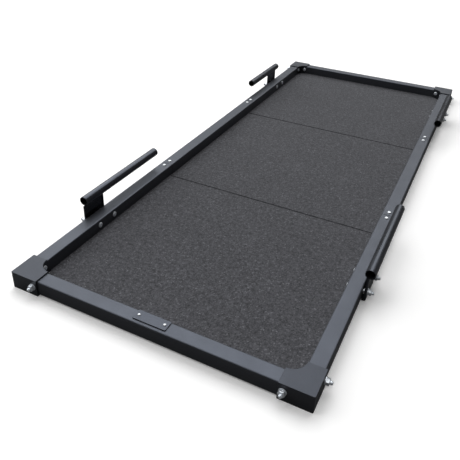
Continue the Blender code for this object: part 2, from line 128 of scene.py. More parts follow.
# The nut is a bar cut by a barrel: the barrel's face as a share of the flats and its width as one of the
# corners, its bevel and the bar as shares of the nut's height
NUT_FACE = 0.47
NUT_WIDTH = 1.005
NUT_BEVEL = 0.14
NUT_BAR = 1.5
NUT_STEPS = 36
WASHER_EDGE = 0.0004

# The screws stand upright, and their tip tapers by this share of their radius
UPWARD = Vector((0.0, 0.0, 1.0))
SCREW_TAPER = 0.24

# The weld: facets round it, steps in a ripple, its swell, how far it stops from the plate's edge, and
# its middle's way off the plate and below the pipe as shares of its radius
WELD_STEPS = 10
RIPPLE_STEPS = 5.0
RIPPLE_LOW = 0.74
RIPPLE_SWELL = 0.22
WELD_INSET = 0.003
WELD_OUT = 0.45
WELD_DOWN = 0.35

# The stage
WHITE = (1.0, 1.0, 1.0, 1.0)
SENSOR_WIDTH = 36.0
VIEW_END = 200.0
FAR_LAMP_PLACE = 4.0


class NodeWriter:
    """Adds nodes to a tree. An input's value is a number or colour, or the output that feeds it."""

    def __init__(self, tree):
        self.tree = tree

    def join(self, value, socket):
        if isinstance(value, NodeSocket):
            self.tree.links.new(value, socket)
        else:
            socket.default_value = value

    def add(self, kind, inputs=None, **settings):
        row, column = divmod(len(self.tree.nodes), NODES_A_ROW)
        node = self.tree.nodes.new(kind)
        node.location = (column * NODE_ROOM[0], -row * NODE_ROOM[1])
        for name, value in settings.items():
            setattr(node, name, value)
        for name, value in (inputs or {}).items():
            self.join(value, node.inputs[name])
        return node

    def out(self, kind, inputs=None, **settings):
        """A new node's first output."""
        return self.add(kind, inputs, **settings).outputs[0]

    def math(self, operation, first, second=0.0):
        return self.out("ShaderNodeMath", {0: first, 1: second}, operation=operation)

    def plus(self, first, second):
        return self.math("ADD", first, second)

    def minus(self, first, second):
        return self.math("SUBTRACT", first, second)

    def times(self, first, second):
        return self.math("MULTIPLY", first, second)

    def over(self, first, second):
        return self.math("DIVIDE", first, second)

    def spread(self, value, low, high, start, end):
        """A value from low to high as one from start to end, held within them."""
        inputs = {"Value": value, "From Min": low, "From Max": high, "To Min": start, "To Max": end}
        return self.add("ShaderNodeMapRange", inputs).outputs["Result"]

    def vary(self, noise, start, end):
        """A noise texture as a value from start to end."""
        return self.spread(noise, *NOISE_RANGE, start, end)

    def noise(self, place, scale, detail=2.0, roughness=0.5, output="Fac"):
        inputs = {"Vector": place, "Scale": scale, "Detail": detail, "Roughness": roughness}
        return self.add("ShaderNodeTexNoise", inputs).outputs[output]

    def grey(self, value):
        return self.out("ShaderNodeCombineColor", {"Red": value, "Green": value, "Blue": value})

    def blend(self, share, first, second, way="MIX"):
        """Two colours mixed."""
        inputs = {0: share, 6: first, 7: second}
        return self.add("ShaderNodeMix", inputs, data_type="RGBA", blend_type=way).outputs[2]


def tree_socket(tree, name, kind, way="INPUT", default=None, subtype=None):
    """A named socket of a node group."""
    socket = tree.interface.new_socket(name=name, in_out=way, socket_type="NodeSocket" + kind)
    if subtype:
        socket.subtype = subtype
    if default is not None:
        socket.default_value = default


# Finishes


def new_effect(name, inputs):
    """A shader node group with named inputs: its writer, its inputs and the place on the object."""
    tree = bpy.data.node_groups.new(name, "ShaderNodeTree")
    for label, value in inputs.items():
        tree_socket(tree, label, "Color" if isinstance(value, tuple) else "Float", default=value)
    for label, kind in (("Colour", "Color"), ("Roughness", "Float"), ("Height", "Float")):
        tree_socket(tree, label, kind, "OUTPUT")
    write = NodeWriter(tree)
    return write, write.add("NodeGroupInput").outputs, write.add("ShaderNodeTexCoord").outputs["Object"]


def end_effect(write, colour, roughness, height):
    """What an effect puts out."""
    write.add("NodeGroupOutput", {"Colour": colour, "Roughness": roughness, "Height": height})
    return write.tree


def powder_coat():
    """Grain, cloudiness and rubbed spots of a powder coat."""
    write, given, place = new_effect("powder_coat", {
        "Colour": (0.05, 0.055, 0.06, 1.0), "Rubbed Colour": (0.09, 0.095, 0.10, 1.0), "Roughness": 0.42,
        "Grain Size": 0.0012, "Rubbed": 0.3})
    grain = write.noise(place, write.over(1.0, given["Grain Size"]))
    clouds = write.noise(place, 9.0, detail=5.0, roughness=0.6)
    specks = write.noise(place, 170.0, detail=3.0)
    spots = write.times(write.spread(clouds, 0.50, 0.72, 0.0, 1.0), write.spread(specks, 0.5, 0.7, 0.0, 1.0))
    tone = write.plus(write.vary(clouds, 0.90, 1.06), write.vary(specks, -0.09, 0.09))
    shades = write.grey(write.plus(tone, write.vary(grain, -0.10, 0.10)))
    toned = write.blend(1.0, given["Colour"], shades, "MULTIPLY")
    colour = write.blend(write.times(spots, given["Rubbed"]), toned, given["Rubbed Colour"])
    roughness = write.plus(given["Roughness"], write.vary(clouds, -0.05, 0.06))
    return end_effect(write, colour, roughness, grain)


def rubber_granulate():
    """Pressed rubber crumbs: dark grains with some paler ones, their relief, and painted shade along two
    seams.
    """
    write, given, place = new_effect("rubber_granulate", {
        "Colour": (0.03, 0.03, 0.03, 1.0), "Pale Colour": (0.12, 0.12, 0.12, 1.0), "Grain Size": 0.003,
        "Pale Share": 0.2, "First Seam": -0.4, "Second Seam": 0.4, "Seam Dirt": 0.5})
    scale = write.over(1.0, given["Grain Size"])
    wobble = write.noise(place, scale, output="Color")
    bent = write.out("ShaderNodeVectorMath", {0: wobble, "Scale": CRUMB_BEND}, operation="SCALE")
    moved = write.out("ShaderNodeVectorMath", {0: place, 1: bent}, operation="ADD")
    crumbs = write.add("ShaderNodeTexVoronoi", {"Vector": moved, "Scale": scale}).outputs
    chance = write.add("ShaderNodeSeparateColor", {"Color": crumbs["Color"]}).outputs
    clumps = write.noise(place, 75.0, detail=4.0, roughness=0.75)
    wide = write.noise(place, 6.0, detail=4.0)
    limit = write.minus(1.0, given["Pale Share"])
    pale = write.times(
        write.spread(chance["Red"], limit, 1.0, 0.35, 1.0), write.math("GREATER_THAN", chance["Red"], limit))
    uneven = write.times(write.vary(clumps, 0.50, 1.50), write.vary(wide, 0.94, 1.06))
    tone = write.times(write.spread(chance["Green"], 0.0, 1.0, 0.60, 1.40), uneven)
    base = write.blend(pale, given["Colour"], given["Pale Colour"])
    toned = write.blend(1.0, base, write.grey(tone), "MULTIPLY")
    # Painted shade: a band along each seam is darkened, standing in for the shade in the gap between two
    # tiles
    along = write.add("ShaderNodeSeparateXYZ", {"Vector": moved}).outputs["Y"]
    first, second = (
        write.math("ABSOLUTE", write.minus(along, given[seam])) for seam in ("First Seam", "Second Seam"))
    painted_shade = write.spread(write.math("MINIMUM", first, second), *SEAM_SHADE_FADE, 1.0, 0.0)
    unshaded = write.minus(1.0, write.times(painted_shade, given["Seam Dirt"]))
    colour = write.blend(1.0, toned, write.grey(unshaded), "MULTIPLY")
    roughness = write.spread(chance["Blue"], 0.0, 1.0, 0.82, 0.98)
    height = write.plus(write.minus(1.0, crumbs["Distance"]), write.times(chance["Blue"], 0.6))
    return end_effect(write, colour, roughness, height)


def zinc_plating():
    """Bright zinc plating with a faint bloom and a fine grain."""
    write, given, place = new_effect("zinc_plating", {
        "Colour": (0.6, 0.61, 0.63, 1.0), "Bloom Colour": (0.42, 0.44, 0.47, 1.0), "Roughness": 0.26})
    bloom = write.noise(place, 260.0, detail=4.0, roughness=0.6)
    share = write.spread(bloom, 0.42, 0.68, 0.0, 0.75)
    colour = write.blend(share, given["Colour"], given["Bloom Colour"])
    roughness = write.plus(given["Roughness"], write.spread(bloom, 0.35, 0.7, -0.04, 0.12))
    return end_effect(write, colour, roughness, write.noise(place, 2600.0))


def finish(name, effect, values, relief, metallic=0.0, shine=0.5, tint=WHITE, sheen=0.0):
    """A material whose colour, roughness and relief come from an effect with its own values. The effect's
    node group has the name of its function, and is built once."""
    found = bpy.data.materials.get(name)
    if found:
        return found
    material = bpy.data.materials.new(name)
    material.use_nodes = True
    shader = material.node_tree.nodes["Principled BSDF"]
    write = NodeWriter(material.node_tree)
    group = bpy.data.node_groups.get(effect.__name__) or effect()
    surface = write.add("ShaderNodeGroup", values, node_tree=group)
    surface.location = (-500, 0)
    strength, depth = relief
    bump = write.add(
        "ShaderNodeBump", {"Strength": strength, "Distance": depth, "Height": surface.outputs["Height"]})
    bump.location = (-250, -260)
    for socket, value in {
            "Base Color": surface.outputs["Colour"], "Roughness": surface.outputs["Roughness"],
            "Normal": bump.outputs["Normal"], "Metallic": metallic, "Specular IOR Level": shine,
            "Specular Tint": tint, "Sheen Weight": sheen}.items():
        write.join(value, shader.inputs[socket])
    material.diffuse_color = values["Colour"]
    return material


def paint(name, settings):
    """A powder-coated finish."""
    tone, coat, rubbed = PAINTS[name]
    colour = getattr(settings, f"{tone}_colour")
    lighter = tuple(min(1.0, part * RUBBED_GAIN + RUBBED_LIFT) for part in colour)
    values = {
        "Colour": (*colour, 1.0), "Rubbed Colour": (*lighter, 1.0),
        "Roughness": getattr(settings, f"{coat}_roughness"), "Grain Size": settings.paint_grain,
        "Rubbed": rubbed}
    return finish(
        name, powder_coat, values, PAINT_RELIEF, shine=getattr(settings, f"{coat}_shine"),
        tint=(*settings.paint_tint, 1.0))


def seam_between(front, rear):
    """Where two tiles meet, along Y."""
    return (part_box(front)[1].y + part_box(rear)[0].y) / 2


def rubber(settings):
    """The pressed crumbs of the tiles."""
    front, middle, rear = TILES
    # Where the seams lie, for the painted shade beside them
    values = {
        "Colour": (*settings.rubber_colour, 1.0), "Pale Colour": (*settings.rubber_fleck, 1.0),
        "Grain Size": settings.rubber_grain, "Pale Share": settings.rubber_fleck_share,
        "First Seam": seam_between(front, middle), "Second Seam": seam_between(middle, rear),
        "Seam Dirt": settings.seam_dirt}
    return finish(
        "rubber_finish", rubber_granulate, values, RUBBER_RELIEF, shine=RUBBER_SHINE,
        sheen=settings.rubber_sheen)


def zinc(name, colour, roughness, metallic):
    """A zinc-plated finish."""
    values = {"Colour": (*colour, 1.0), "Roughness": roughness}
    return finish(name, zinc_plating, values, ZINC_RELIEF, metallic=metallic)


def finish_nodes(names, material):
    """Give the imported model's nodes a finish."""
    for name in names:
        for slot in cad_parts[name].material_slots:
            slot.material = material


# Shapes


def outline_curve(write, points, closed=False):
    """A curve through points, each (distance from the axis, height along it), numbers or outputs.
    Its Y runs down, because a sweep round a circle lays Y along -Z."""
    line = write.out("GeometryNodeMeshLine", {"Count": len(points)})
    index = write.out("GeometryNodeInputIndex")
    pick = write.add("GeometryNodeIndexSwitch", {"Index": index}, data_type="VECTOR")
    while len(pick.index_switch_items) < len(points):
        pick.index_switch_items.new()
    for number, (radius, height) in enumerate(points):
        corner = write.out("ShaderNodeCombineXYZ", {"X": radius, "Y": write.times(height, -1.0)})
        write.join(corner, pick.inputs[number + 1])
    moved = write.out("GeometryNodeSetPosition", {"Geometry": line, "Position": pick.outputs[0]})
    curve = write.out("GeometryNodeMeshToCurve", {"Mesh": moved})
    if closed:
        curve = write.out("GeometryNodeSetSplineCyclic", {"Geometry": curve, "Cyclic": True})
    return curve


def softened(write, curve, radius):
    """A curve with its corners rounded."""
    inputs = {"Curve": curve, "Count": 2, "Radius": radius, "Limit Radius": True}
    return write.out("GeometryNodeFilletCurve", inputs, mode="POLY")


def merged(write, mesh):
    """A shape without doubled points or slivers."""
    inputs = {"Geometry": mesh, "Distance": MERGE_DISTANCE}
    return write.out("GeometryNodeMergeByDistance", inputs)


def swept(write, path, radius, steps, scale=1.0):
    """A closed tube along a path."""
    ring = write.out("GeometryNodeCurvePrimitiveCircle", {"Resolution": steps, "Radius": radius})
    inputs = {"Curve": path, "Profile Curve": ring, "Scale": scale, "Fill Caps": True}
    return write.out("GeometryNodeCurveToMesh", inputs)


def turned(write, curve, steps):
    """A shape turned about Z from its outline."""
    axis = write.out("GeometryNodeCurvePrimitiveCircle", {"Resolution": steps, "Radius": AXIS_RADIUS})
    inputs = {"Curve": axis, "Profile Curve": curve}
    return merged(write, write.out("GeometryNodeCurveToMesh", inputs))


def cut(write, operation, shapes, base=None):
    """A base less the shapes, or what the shapes share."""
    inputs = {"Mesh 1": base} if base else {}
    result = write.add("GeometryNodeMeshBoolean", inputs, operation=operation, solver="EXACT")
    for shape in shapes:
        write.join(shape, result.inputs["Mesh 2"])
    return merged(write, result.outputs["Mesh"])


def shaded(write, mesh, angle):
    """Smooth faces, with edges past an angle in degrees kept sharp."""
    smooth = write.out("GeometryNodeSetShadeSmooth", {"Geometry": mesh})
    bend = write.add("GeometryNodeInputMeshEdgeAngle").outputs["Unsigned Angle"]
    sharp = write.math("GREATER_THAN", bend, math.radians(angle))
    inputs = {"Geometry": smooth, "Selection": sharp, "Shade Smooth": False}
    return write.out("GeometryNodeSetShadeSmooth", inputs, domain="EDGE")


def lifted(write, shape, height):
    """A shape moved along Z."""
    move = write.out("ShaderNodeCombineXYZ", {"Z": height})
    return write.out("GeometryNodeTransform", {"Geometry": shape, "Translation": move})


def hex_bar(write, across_flats, height, middle):
    """A six-sided bar about Z, its middle at a height."""
    inputs = {"Vertices": 6, "Radius": write.over(across_flats, HEX_FLATS), "Depth": height}
    bar = write.add("GeometryNodeMeshCylinder", inputs, fill_type="NGON").outputs["Mesh"]
    return lifted(write, bar, middle)


def domed_points(write, diameter, height):
    """Outline of a domed head from its top on the axis to its rim on height zero."""
    radius = write.times(diameter, 0.5)
    return [(write.times(radius, across), write.times(height, up)) for across, up in DOME]


def piece_tree(name, sizes, steps=ROUND_STEPS):
    """A geometry tree with named inputs for its sizes: its writer and its inputs."""
    tree = bpy.data.node_groups.new(name, "GeometryNodeTree")
    tree_socket(tree, "Geometry", "Geometry")
    for label, value in sizes.items():
        tree_socket(tree, label, "Float", default=value, subtype="DISTANCE")
    tree_socket(tree, "Steps", "Int", default=steps)
    tree_socket(tree, "Material", "Material")
    tree_socket(tree, "Geometry", "Geometry", "OUTPUT")
    write = NodeWriter(tree)
    return write, write.add("NodeGroupInput").outputs


def end_tree(write, given, shape):
    """The tree puts out a shape, made real and given the finish."""
    real = write.out("GeometryNodeRealizeInstances", {"Geometry": shape})
    done = write.out("GeometryNodeSetMaterial", {"Geometry": real, "Material": given["Material"]})
    write.add("NodeGroupOutput", {"Geometry": done})
    return write.tree


def end_with_copies(write, given, shape):
    """The tree puts out copies of a shape on its points, each along its point's own direction."""
    way = write.out("GeometryNodeInputNamedAttribute", {"Name": "along"}, data_type="FLOAT_VECTOR")
    turn = write.out("FunctionNodeAlignRotationToVector", {"Vector": way}, axis="Z")
    inputs = {"Points": given["Geometry"], "Instance": shape, "Rotation": turn}
    return end_tree(write, given, write.out("GeometryNodeInstanceOnPoints", inputs))


def through_bolt_tree(sizes):
    """A through bolt as assembled: domed socket head, washer, chamfered nut and threaded stud end."""
    write, given = piece_tree("through_bolt", sizes)
    pitch = given["Thread Pitch"]
    flats = given["Nut Across Flats"]
    half = write.times(given["Bolt Diameter"], 0.5)
    core = write.minus(half, write.times(pitch, THREAD_DEPTH))
    washer_top = write.times(given["Grip"], -1.0)
    washer_foot = write.minus(washer_top, given["Washer Thickness"])
    nut_foot = write.minus(washer_foot, given["Nut Height"])
    tip = write.minus(nut_foot, given["Stud End"])
    shoulder = write.plus(tip, pitch)
    blunt = write.minus(core, write.times(pitch, TIP_TAPER))
    head = domed_points(write, given["Head Diameter"], given["Head Height"])
    shank = [
        (half, 0.0), (half, washer_foot), (core, washer_foot), (core, shoulder), (blunt, tip), (0.0, tip)]
    solid = turned(write, outline_curve(write, head + shank), given["Steps"])
    recess = write.times(given["Socket Depth"], 2.0)
    socket = hex_bar(write, given["Socket Across Flats"], recess, given["Head Height"])
    bolt = cut(write, "DIFFERENCE", (socket,), solid)
    outer = write.times(given["Washer Diameter"], 0.5)
    ring = [(half, washer_top), (outer, washer_top), (outer, washer_foot), (half, washer_foot)]
    washer = turned(write, softened(write, outline_curve(write, ring, True), WASHER_EDGE), given["Steps"])
    face = write.times(flats, NUT_FACE)
    bevel = write.times(given["Nut Height"], NUT_BEVEL)
    wide = write.times(write.over(flats, HEX_FLATS), NUT_WIDTH)
    high = write.minus(washer_foot, bevel)
    low = write.plus(nut_foot, bevel)
    barrel = turned(write, outline_curve(write, [
        (0.0, washer_foot), (face, washer_foot), (wide, high), (wide, low), (face, nut_foot),
        (0.0, nut_foot)]), NUT_STEPS)
    middle = write.times(write.plus(washer_foot, nut_foot), 0.5)
    bar = hex_bar(write, flats, write.times(given["Nut Height"], NUT_BAR), middle)
    nut = cut(write, "INTERSECT", (bar, barrel))
    length = write.times(given["Stud End"], THREADED_SHARE)
    ridge_at = write.minus(half, write.times(pitch, RIDGE_DEPTH))
    spiral = write.out("GeometryNodeCurveSpiral", {
        "Resolution": THREAD_STEPS, "Rotations": write.over(length, pitch), "Start Radius": ridge_at,
        "End Radius": ridge_at, "Height": length})
    path = lifted(write, spiral, write.minus(nut_foot, length))
    thread = swept(write, path, write.times(pitch, RIDGE_RADIUS), 4)
    parts = write.add("GeometryNodeJoinGeometry")
    for piece in (thread, nut, washer, bolt):
        write.join(piece, parts.inputs[0])
    return end_with_copies(write, given, shaded(write, parts.outputs[0], angle=28.0))


def domed_screw_tree(sizes):
    """A smooth domed screw."""
    write, given = piece_tree("domed_screw", sizes)
    half = write.times(given["Screw Diameter"], 0.5)
    foot = write.times(given["Screw Length"], -1.0)
    blunt = write.times(half, 1.0 - SCREW_TAPER)
    shoulder = write.plus(foot, write.times(half, SCREW_TAPER))
    head = domed_points(write, given["Head Diameter"], given["Head Height"])
    shank = [(half, 0.0), (half, shoulder), (blunt, foot), (0.0, foot)]
    body = turned(write, outline_curve(write, head + shank), given["Steps"])
    return end_with_copies(write, given, shaded(write, body, angle=30.0))


def weld_bead_tree(sizes):
    """A rippled bead of weld along each edge of a mesh."""
    write, given = piece_tree("weld_bead", sizes, WELD_STEPS)
    lines = write.out("GeometryNodeMeshToCurve", {"Mesh": given["Geometry"]})
    step = write.over(given["Ripple Pitch"], RIPPLE_STEPS)
    fine = write.out("GeometryNodeResampleCurve", {"Curve": lines, "Length": step}, mode="LENGTH")
    along = write.add("GeometryNodeSplineParameter").outputs["Length"]
    place = write.out("GeometryNodeInputPosition")
    wave = write.math("SINE", write.times(write.over(along, given["Ripple Pitch"]), math.pi))
    swell = write.plus(write.times(write.math("ABSOLUTE", wave), RIPPLE_SWELL), RIPPLE_LOW)
    size = write.times(swell, write.vary(write.noise(place, 130.0), 0.86, 1.12))
    bead = swept(write, fine, given["Bead Radius"], given["Steps"], size)
    return end_tree(write, given, shaded(write, bead, angle=60.0))


def weld_lines(radius):
    """Ends of the welds on both sides of each bracket, where its plate meets the pipe."""
    points = []
    edges = []
    for peg in PEGS:
        pipe_low, pipe_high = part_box(f"peg_pipe_{peg}")
        plate_low, plate_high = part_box(f"peg_bracket_{peg}")
        side = math.copysign(1.0, pipe_low.x)
        middle = (pipe_low + pipe_high) / 2
        outside = (pipe_high.z - pipe_low.z) / 2
        start = max(pipe_low.y, plate_low.y) + WELD_INSET
        end = min(pipe_high.y, plate_high.y) - WELD_INSET
        outer_face = max(abs(plate_low.x), abs(plate_high.x))
        for face, way in ((outer_face, 1.0), (outer_face - BRACKET_PLATE, -1.0)):
            across = face + way * radius * WELD_OUT
            drop = math.sqrt(outside ** 2 - (abs(middle.x) - across) ** 2)
            height = middle.z - drop - radius * WELD_DOWN
            edges.append((len(points), len(points) + 1))
            points += [Vector((side * across, y, height)) for y in (start, end)]
    return points, edges


def made_by_nodes(name, tree, points, values, ways=(), edges=()):
    """A piece made by a geometry tree from points, which have directions or edges, as a plain mesh."""
    host = bpy.data.meshes.new(name)
    host.from_pydata(points, edges, [])
    if ways:
        along = host.attributes.new("along", "FLOAT_VECTOR", "POINT")
        for entry, way in zip(along.data, ways):
            entry.vector = way
    item = bpy.data.objects.new(name, host)
    bpy.context.scene.collection.objects.link(item)
    modifier = item.modifiers.new("nodes", "NODES")
    modifier.node_group = tree
    for socket in tree.interface.items_tree:
        if socket.in_out == "INPUT" and socket.name in values:
            modifier[socket.identifier] = values[socket.name]
    bpy.context.view_layer.update()
    baked = bpy.data.meshes.new_from_object(item.evaluated_get(bpy.context.evaluated_depsgraph_get()))
    item.modifiers.remove(modifier)
    item.data = baked
    baked.name = name
    bpy.data.meshes.remove(host)
    if len(baked.polygons) == 0:
        raise RuntimeError(f"{name} came out empty")
    return item


def stands_for(item, nodes=()):
    """Tie a made piece to the body and to the nodes that it stands for."""
    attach(item, BODY)
    if nodes:
        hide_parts(*nodes)


def bolt_points(names):
    """Seat of each bolt's head, the direction of its head, and the bolts' whole length."""
    points = []
    ways = []
    lengths = []
    for name in names:
        low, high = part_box(name)
        axis = 1 if name.endswith("_end") else 0
        middle = (low + high) / 2
        inward = Vector((0.0, 0.0, 0.0))
        inward[axis] = -math.copysign(1.0, middle[axis])
        seat = middle.copy()
        seat[axis] = (low if middle[axis] > 0 else high)[axis] - inward[axis] * PACKED_HEAD_HEIGHT
        points.append(seat)
        ways.append(inward)
        lengths.append(high[axis] - low[axis])
    return points, ways, sum(lengths) / len(lengths)


def screw_points(names, head_height):
    """Seat of each upright screw's head."""
    points = []
    for name in names:
        low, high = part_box(name)
        middle = (low + high) / 2
        points.append(Vector((middle.x, middle.y, high.z - head_height)))
    return points


# Sizes and colours that a user would change


class PlatformFinishes(PropertyGroup):
    """Colours and grain of the platform's finishes."""

    frame_colour: FloatVectorProperty(
        name="Frame Colour", description="Powder coat of the beams", subtype="COLOR",
        default=(0.0165, 0.0160, 0.0160), min=0.0, max=1.0)
    frame_roughness: FloatProperty(
        name="Frame Roughness", description="Roughness of the frame's powder coat", subtype="FACTOR",
        default=0.45, min=0.0, max=1.0)
    frame_shine: FloatProperty(
        name="Frame Shine", description="Reflection of the frame's coat seen head on", subtype="FACTOR",
        default=0.83, min=0.0, max=1.0)
    corner_colour: FloatVectorProperty(
        name="Corner Colour", description="Powder coat of the corner sleeves", subtype="COLOR",
        default=(0.016, 0.0155, 0.0155), min=0.0, max=1.0)
    corner_roughness: FloatProperty(
        name="Corner Roughness", description="Roughness of the sleeves' powder coat", subtype="FACTOR",
        default=0.46, min=0.0, max=1.0)
    corner_shine: FloatProperty(
        name="Corner Shine", description="Reflection of the sleeves' coat seen head on", subtype="FACTOR",
        default=0.62, min=0.0, max=1.0)
    peg_colour: FloatVectorProperty(
        name="Peg Colour", description="Powder coat of the pipes and their brackets", subtype="COLOR",
        default=(0.009, 0.009, 0.010), min=0.0, max=1.0)
    peg_roughness: FloatProperty(
        name="Peg Roughness", description="Roughness of the pegs' powder coat", subtype="FACTOR",
        default=0.28, min=0.0, max=1.0)
    peg_shine: FloatProperty(
        name="Peg Shine", description="Reflection of the pegs' coat seen head on", subtype="FACTOR",
        default=0.66, min=0.0, max=1.0)
    plate_colour: FloatVectorProperty(
        name="Plate Colour", description="Paint of the bare name plate", subtype="COLOR",
        default=(0.014, 0.014, 0.015), min=0.0, max=1.0)
    paint_tint: FloatVectorProperty(
        name="Paint Tint", description="Tint of the powder coats' reflections", subtype="COLOR",
        default=(0.75, 0.82, 1.0), min=0.0, max=1.0)
    paint_grain: FloatProperty(
        name="Paint Grain", description="Size of the powder coat's grain", unit="LENGTH",
        default=0.0016, min=0.0002)
    rubber_colour: FloatVectorProperty(
        name="Rubber Colour", description="Dark crumbs of the rubber tiles", subtype="COLOR",
        default=(0.0488, 0.0480, 0.0530), min=0.0, max=1.0)
    rubber_fleck: FloatVectorProperty(
        name="Rubber Fleck", description="Pale crumbs of the rubber tiles", subtype="COLOR",
        default=(0.0915, 0.0900, 0.0975), min=0.0, max=1.0)
    rubber_fleck_share: FloatProperty(
        name="Fleck Share", description="Share of the crumbs that are pale", subtype="FACTOR",
        default=0.12, min=0.0, max=1.0)
    # Strength of the painted shade along the tile seams
    seam_dirt: FloatProperty(
        name="Seam Dirt", description="How much darker the tiles are along their seams", subtype="FACTOR",
        default=0.6, min=0.0, max=1.0)
    rubber_sheen: FloatProperty(
        name="Rubber Sheen", description="Soft sheen of the crumbs seen from the side", subtype="FACTOR",
        default=0.10, min=0.0, max=1.0)
    rubber_grain: FloatProperty(
        name="Rubber Grain", description="Size of the rubber crumbs", unit="LENGTH",
        default=0.0036, min=0.0005)
    zinc_colour: FloatVectorProperty(
        name="Zinc Colour", description="Plating of the bolts, washers and nuts", subtype="COLOR",
        default=(0.93, 0.96, 1.0), min=0.0, max=1.0)
    zinc_roughness: FloatProperty(
        name="Zinc Roughness", description="Roughness of the bolts' plating", subtype="FACTOR",
        default=0.30, min=0.0, max=1.0)
    zinc_metallic: FloatProperty(
        name="Zinc Metallic", description="How metallic the bolts' plating looks under its bloom",
        subtype="FACTOR", default=0.72, min=0.0, max=1.0)
    screw_colour: FloatVectorProperty(
        name="Screw Colour", description="Plating of the domed screws", subtype="COLOR",
        default=(0.80, 0.81, 0.82), min=0.0, max=1.0)
    screw_roughness: FloatProperty(
        name="Screw Roughness", description="Roughness of the domed screws", subtype="FACTOR",
        default=0.42, min=0.0, max=1.0)
    screw_metallic: FloatProperty(
        name="Screw Metallic", description="How metallic the domed screws look under their bloom",
        subtype="FACTOR", default=0.60, min=0.0, max=1.0)


class PlatformFasteners(PropertyGroup):
    """Sizes of the bolts, screws and welds."""

    bolt_diameter: FloatProperty(
        name="Bolt Diameter", description="Thread diameter of the through bolts", unit="LENGTH",
        default=0.012)
    bolt_head: FloatProperty(
        name="Bolt Head", description="Diameter of the domed bolt heads", unit="LENGTH", default=0.0200)
    bolt_head_height: FloatProperty(
        name="Bolt Head Height", description="Height of the domed bolt heads", unit="LENGTH", default=0.0041)
    socket_flats: FloatProperty(
        name="Socket Across Flats", description="Width of the socket in a bolt head", unit="LENGTH",
        default=0.0075)
    socket_depth: FloatProperty(
        name="Socket Depth", description="Depth of the socket in a bolt head", unit="LENGTH", default=0.0030)
    washer_diameter: FloatProperty(
        name="Washer Diameter", description="Outside of the washers", unit="LENGTH", default=0.024)
    washer_thickness: FloatProperty(
        name="Washer Thickness", description="Thickness of the washers", unit="LENGTH", default=0.0025)
    nut_flats: FloatProperty(
        name="Nut Across Flats", description="Width of the hexagon nuts", unit="LENGTH", default=0.019)
    nut_height: FloatProperty(
        name="Nut Height", description="Height of the hexagon nuts", unit="LENGTH", default=0.010)
    stud_end: FloatProperty(
        name="Stud End", description="Thread that stands past the nut", unit="LENGTH", default=0.0085)
    thread_pitch: FloatProperty(
        name="Thread Pitch", description="Distance from one turn of the thread to the next",
        unit="LENGTH", default=0.00175)
    weld_radius: FloatProperty(
        name="Weld Radius", description="Half width of the weld between pipe and bracket",
        unit="LENGTH", default=0.0026)
    weld_pitch: FloatProperty(
        name="Weld Pitch", description="Distance from one ripple of the weld to the next",
        unit="LENGTH", default=0.0028)
    splice_screw: FloatVectorProperty(
        name="Splice Screw", description="Diameter, length, head diameter and head height of a splice screw",
        size=4, unit="LENGTH", default=(0.008, 0.014, 0.0145, 0.0044))
    plate_screw: FloatVectorProperty(
        name="Plate Screw", description="Diameter, length, head diameter and head height of a plate screw",
        size=4, unit="LENGTH", default=(0.005, 0.012, 0.0090, 0.0028))
    round_steps: IntProperty(
        name="Round Steps", description="Facets round a bolt or screw", default=ROUND_STEPS, min=8, max=96)


class PlatformStage(PropertyGroup):
    """Camera, floor and lamps."""

    camera_place: FloatVectorProperty(
        name="Camera Place", description="Where the camera stands", subtype="TRANSLATION",
        unit="LENGTH", default=(0.6871, -2.17804, 1.18688))
    camera_turn: FloatVectorProperty(
        name="Camera Turn", description="The camera's turn about X, Y and Z", subtype="EULER",
        default=tuple(math.radians(turn) for turn in (59.9144, -1.9433, 26.5989)))
    camera_lens: FloatProperty(
        name="Lens", description="Focal length in millimetres for a sensor 36 mm wide", default=43.4504)
    camera_shift: FloatProperty(
        name="Upward Shift", description="Shift of the lens, in frame heights", default=-0.1)
    floor_size: FloatProperty(
        name="Floor Size", description="Side of the square floor", unit="LENGTH", default=40.0)
    back_light: FloatProperty(
        name="Back Light", description="Light of the soft lamp behind on a level white surface",
        default=0.41)
    back_from: FloatVectorProperty(
        name="Back Light From", description="Direction that the lamp behind shines from",
        subtype="DIRECTION", default=(-0.08, 0.60, 0.79))
    back_softness: FloatProperty(
        name="Back Light Softness", description="How wide the lamp behind looks", subtype="ANGLE",
        default=math.radians(52.0))
    side_light: FloatProperty(
        name="Side Light", description="Light of the nearer soft lamp on a level white surface",
        default=0.49)
    side_from: FloatVectorProperty(
        name="Side Light From", description="Direction that the lamp at the side shines from",
        subtype="DIRECTION", default=(-0.78, 0.05, 0.63))
    side_softness: FloatProperty(
        name="Side Light Softness", description="How wide the lamp at the side looks", subtype="ANGLE",
        default=math.radians(84.0))
    side_distance: FloatProperty(
        name="Side Light Distance", description="How far the lamp at the side stands from the middle",
        unit="LENGTH", default=6.5)
    front_light: FloatProperty(
        name="Front Light", description="Light of the small lamp in front on a level white surface",
        default=0.15)
    front_from: FloatVectorProperty(
        name="Front Light From", description="Direction that the lamp in front shines from",
        subtype="DIRECTION", default=(0.12, -0.38, 0.92))
    front_softness: FloatProperty(
        name="Front Light Softness", description="How wide the lamp in front looks", subtype="ANGLE",
        default=math.radians(26.0))
    lamp_colour: FloatVectorProperty(
        name="Lamp Colour", description="Colour of all the lamps", subtype="COLOR",
        default=(0.955, 0.98, 1.0))
    sky_light: FloatProperty(
        name="Sky Light", description="Strength of the even light from all round", default=0.06)
    sky_mirrored: FloatProperty(
        name="Sky Mirrored", description="Share of the white sky that shows in the object's gloss",
        subtype="FACTOR", default=0.10)
    floor_pale: FloatProperty(
        name="Floor Pale", description="How much light the floor sends to the camera", default=1.0)
    floor_glow: FloatProperty(
        name="Floor Glow", description="White added to the floor as the camera sees it", default=0.10)
    floor_mirrored: FloatProperty(
        name="Floor Mirrored", description="Share of the pale floor that shows in the object's gloss",
        subtype="FACTOR", default=0.07)
    floor_bounce: FloatProperty(
        name="Floor Bounce", description="Grey of the floor as it lights the object", default=0.09)


# Operators


